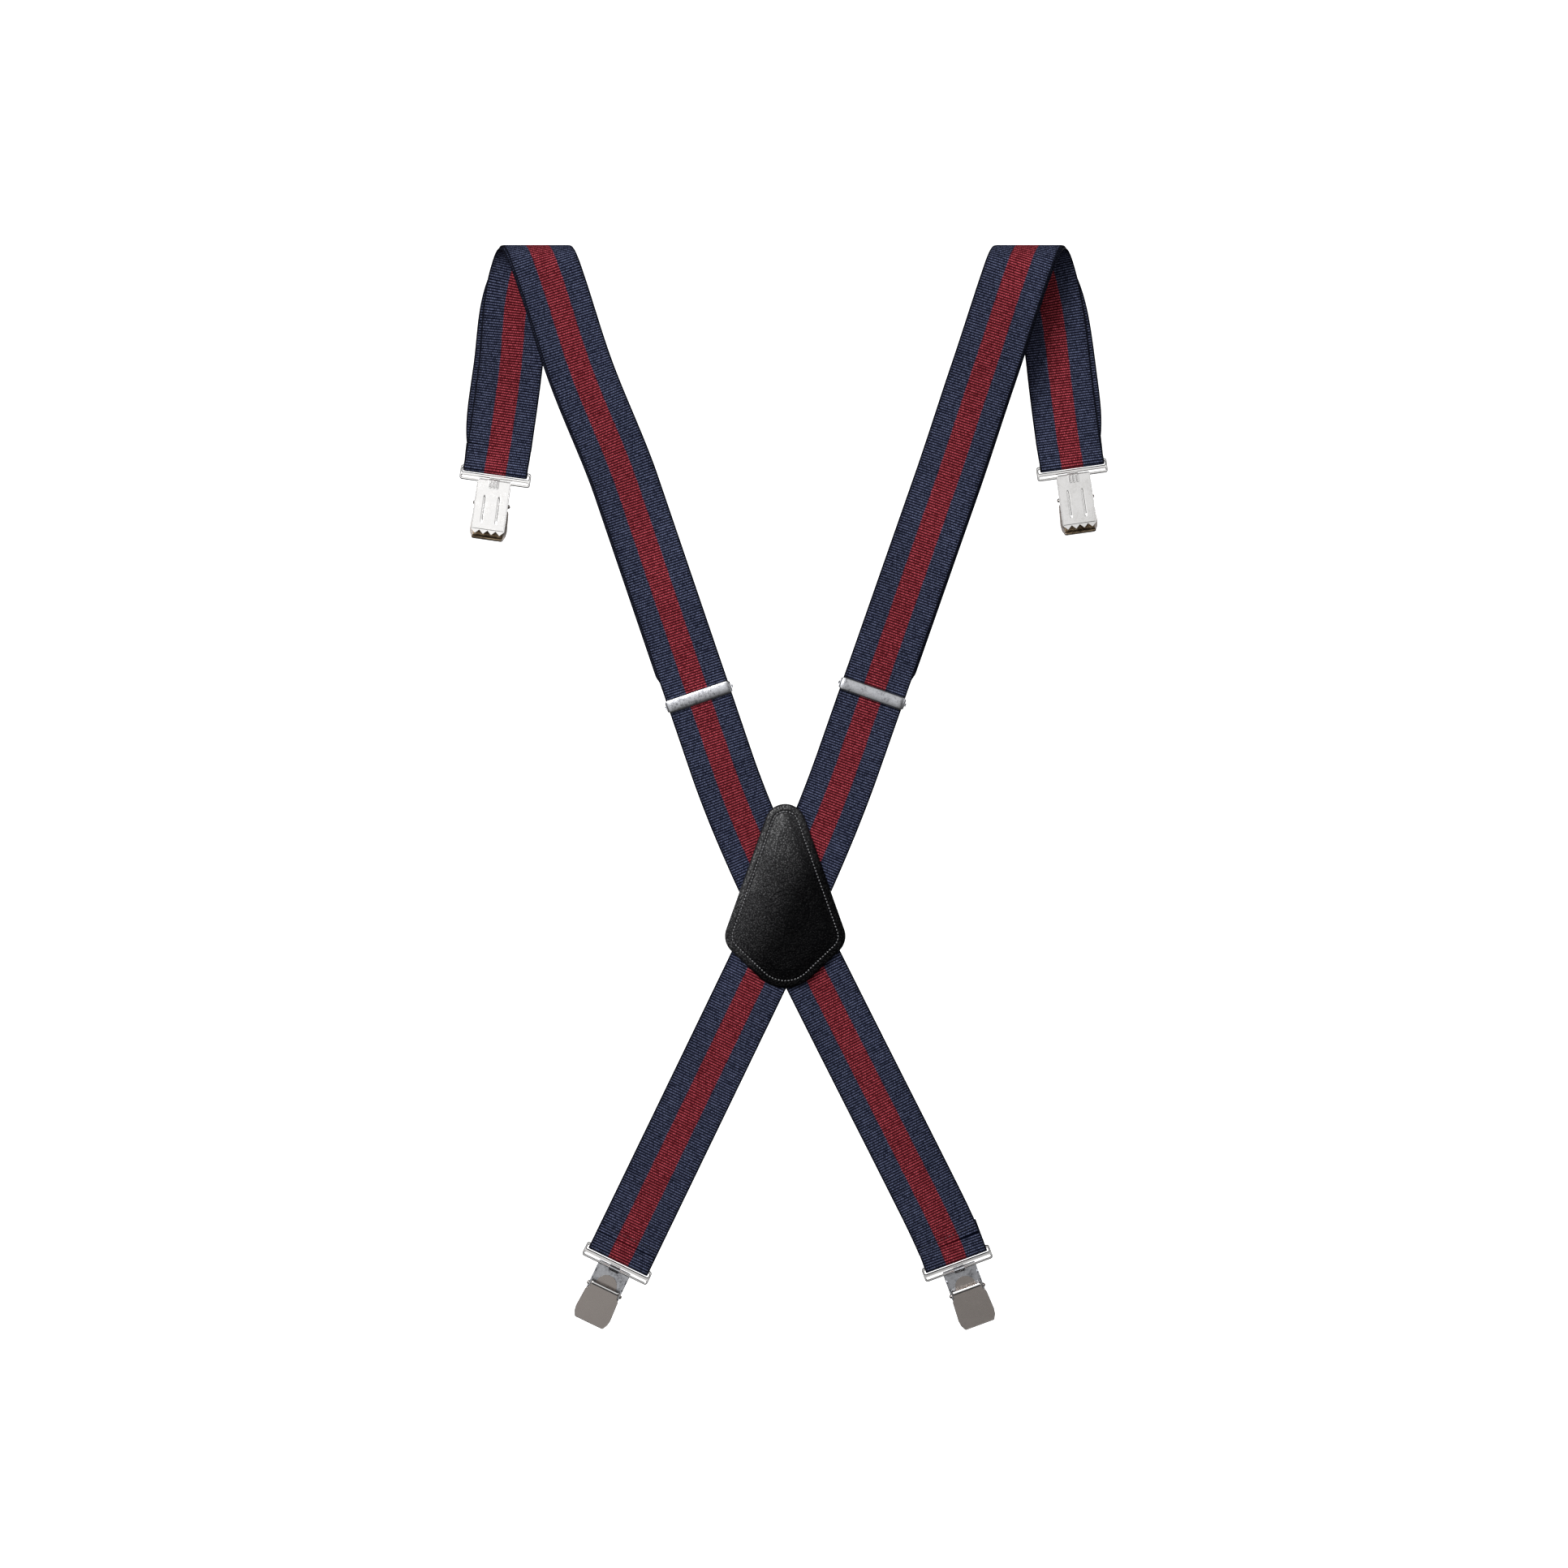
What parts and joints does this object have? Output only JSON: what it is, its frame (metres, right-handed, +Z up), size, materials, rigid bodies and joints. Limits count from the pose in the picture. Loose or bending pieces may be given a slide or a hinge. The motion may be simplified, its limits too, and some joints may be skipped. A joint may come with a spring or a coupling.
{
  "type": "clip suspenders",
  "caption": "Men's X-back suspenders in wide striped elastic webbing, with a leather back patch, sliding length adjusters and metal jaw clips on swinging wire rings.",
  "frame": {"origin": "on the axis of the rail that the straps hang over, midway between the two shoulder folds", "axes": "+Z up, +X along the rail to the right as seen in the picture, -Y out of the outer face of the front run"},
  "size_m": [0.3824, 0.0374, 0.633],
  "materials": {
    "webbing": "ribbed elastic webbing, navy with a burgundy centre stripe",
    "leather": "black pebbled leather, semi-gloss",
    "bright_nickel": "bright nickel plate",
    "satin_nickel": "satin nickel plate, lightly scratched",
    "brown_metal": "dark brown oxidised steel"
  },
  "bodies": {
    "straps": {"strap_left": "webbing", "strap_right": "webbing", "fold_outer_left": "webbing", "fold_inner_left": "webbing", "fold_outer_right": "webbing", "fold_inner_right": "webbing", "return_strap_left": "webbing", "return_strap_right": "webbing", "patch_front": "leather", "patch_lining": "leather"},
    "adjuster_left": {"adjuster_cover_left": "satin_nickel", "adjuster_bar_left": "brown_metal", "tail_loop_left": "webbing"},
    "hang_left": {"hang_outer_left": "webbing", "hang_inner_left": "webbing"},
    "front_end_left": {"front_loop_left": "webbing"},
    "adjuster_right": {"adjuster_cover_right": "satin_nickel", "adjuster_bar_right": "brown_metal", "tail_loop_right": "webbing"},
    "hang_right": {"hang_outer_right": "webbing", "hang_inner_right": "webbing"},
    "front_end_right": {"front_loop_right": "webbing"},
    "front_left_ring": {"front_left_ring": "bright_nickel"},
    "front_left_clip": {"front_left_back_plate": "bright_nickel", "front_left_hinge_pin": "satin_nickel", "front_left_spring_leaf": "bright_nickel"},
    "front_left_jaw": {"front_left_jaw": "satin_nickel"},
    "front_right_ring": {"front_right_ring": "bright_nickel"},
    "front_right_clip": {"front_right_back_plate": "bright_nickel", "front_right_hinge_pin": "satin_nickel", "front_right_spring_leaf": "bright_nickel"},
    "front_right_jaw": {"front_right_jaw": "satin_nickel"},
    "back_left_ring": {"back_left_ring": "bright_nickel"},
    "back_left_clip": {"back_left_back_plate": "bright_nickel", "back_left_hinge_pin": "satin_nickel", "back_left_spring_leaf": "bright_nickel"},
    "back_left_jaw": {"back_left_jaw": "satin_nickel"},
    "back_right_ring": {"back_right_ring": "bright_nickel"},
    "back_right_clip": {"back_right_back_plate": "bright_nickel", "back_right_hinge_pin": "satin_nickel", "back_right_spring_leaf": "bright_nickel"},
    "back_right_jaw": {"back_right_jaw": "satin_nickel"}
  },
  "joints": [
    {"name": "adjuster_slide_left", "type": "slide", "parent": "straps", "child": "adjuster_left", "axis": [-0.3219, 0, 0.9468], "range_m": [-0.03, 0.115], "deforming": ["return_strap_left"]},
    {"name": "shoulder_flex_left", "type": "hinge", "parent": "straps", "child": "hang_left", "pos_m": [-0.1536, 0.01468, 0], "axis": [1, 0, 0], "range_deg": [0, 80]},
    {"name": "front_length_left", "type": "slide", "parent": "hang_left", "child": "front_end_left", "axis": [0, 0, -1], "range_m": [-0.016, 0.058], "deforming": ["hang_outer_left", "hang_inner_left"]},
    {"name": "adjuster_slide_right", "type": "slide", "parent": "straps", "child": "adjuster_right", "axis": [0.3304, 0, 0.9439], "range_m": [-0.03, 0.115], "deforming": ["return_strap_right"]},
    {"name": "shoulder_flex_right", "type": "hinge", "parent": "straps", "child": "hang_right", "pos_m": [0.152, 0.01468, 0], "axis": [1, 0, 0], "range_deg": [0, 80]},
    {"name": "front_length_right", "type": "slide", "parent": "hang_right", "child": "front_end_right", "axis": [0, 0, -1], "range_m": [-0.016, 0.058], "deforming": ["hang_outer_right", "hang_inner_right"]},
    {"name": "front_left_ring_swing", "type": "hinge", "parent": "front_end_left", "child": "front_left_ring", "pos_m": [-0.1698, 0.01468, -0.1148], "axis": [-0.9903, 0, 0.1386], "range_deg": [-60, 60]},
    {"name": "front_left_clip_swing", "type": "hinge", "parent": "front_left_ring", "child": "front_left_clip", "pos_m": [-0.17077, 0.01468, -0.12173], "axis": [-0.9903, 0, 0.1386], "range_deg": [-40, 40]},
    {"name": "front_left_jaw_open", "type": "hinge", "parent": "front_left_clip", "child": "front_left_jaw", "pos_m": [-0.1726, 0.01597, -0.13481], "axis": [0.9903, 0, -0.1386], "range_deg": [0, 60]},
    {"name": "front_right_ring_swing", "type": "hinge", "parent": "front_end_right", "child": "front_right_ring", "pos_m": [0.1694, 0.01468, -0.111], "axis": [-0.9903, 0, -0.1386], "range_deg": [-60, 60]},
    {"name": "front_right_clip_swing", "type": "hinge", "parent": "front_right_ring", "child": "front_right_clip", "pos_m": [0.17037, 0.01468, -0.11793], "axis": [-0.9903, 0, -0.1386], "range_deg": [-40, 40]},
    {"name": "front_right_jaw_open", "type": "hinge", "parent": "front_right_clip", "child": "front_right_jaw", "pos_m": [0.1722, 0.01597, -0.13101], "axis": [0.9903, 0, 0.1386], "range_deg": [0, 60]},
    {"name": "back_left_ring_swing", "type": "hinge", "parent": "straps", "child": "back_left_ring", "pos_m": [-0.0957, -0.01468, -0.5756], "axis": [0.9005, 0, -0.4349], "range_deg": [-60, 60]},
    {"name": "back_left_clip_swing", "type": "hinge", "parent": "back_left_ring", "child": "back_left_clip", "pos_m": [-0.09874, -0.01468, -0.5819], "axis": [0.9005, 0, -0.4349], "range_deg": [-40, 40]},
    {"name": "back_left_jaw_open", "type": "hinge", "parent": "back_left_clip", "child": "back_left_jaw", "pos_m": [-0.10448, -0.01597, -0.59379], "axis": [-0.9005, 0, 0.4349], "range_deg": [0, 60]},
    {"name": "back_right_ring_swing", "type": "hinge", "parent": "straps", "child": "back_right_ring", "pos_m": [0.0997, -0.01312, -0.5756], "axis": [0.9379, 0, 0.347], "range_deg": [-60, 60]},
    {"name": "back_right_clip_swing", "type": "hinge", "parent": "back_right_ring", "child": "back_right_clip", "pos_m": [0.10213, -0.01312, -0.58217], "axis": [0.9379, 0, 0.347], "range_deg": [-40, 40]},
    {"name": "back_right_jaw_open", "type": "hinge", "parent": "back_right_clip", "child": "back_right_jaw", "pos_m": [0.10671, -0.01443, -0.59454], "axis": [-0.9379, 0, -0.347], "range_deg": [0, 60]}
  ],
  "couplings": [
    {"joint": "front_length_left", "follows": "adjuster_slide_left", "ratio": 0.5},
    {"joint": "front_length_right", "follows": "adjuster_slide_right", "ratio": 0.5}
  ]
}
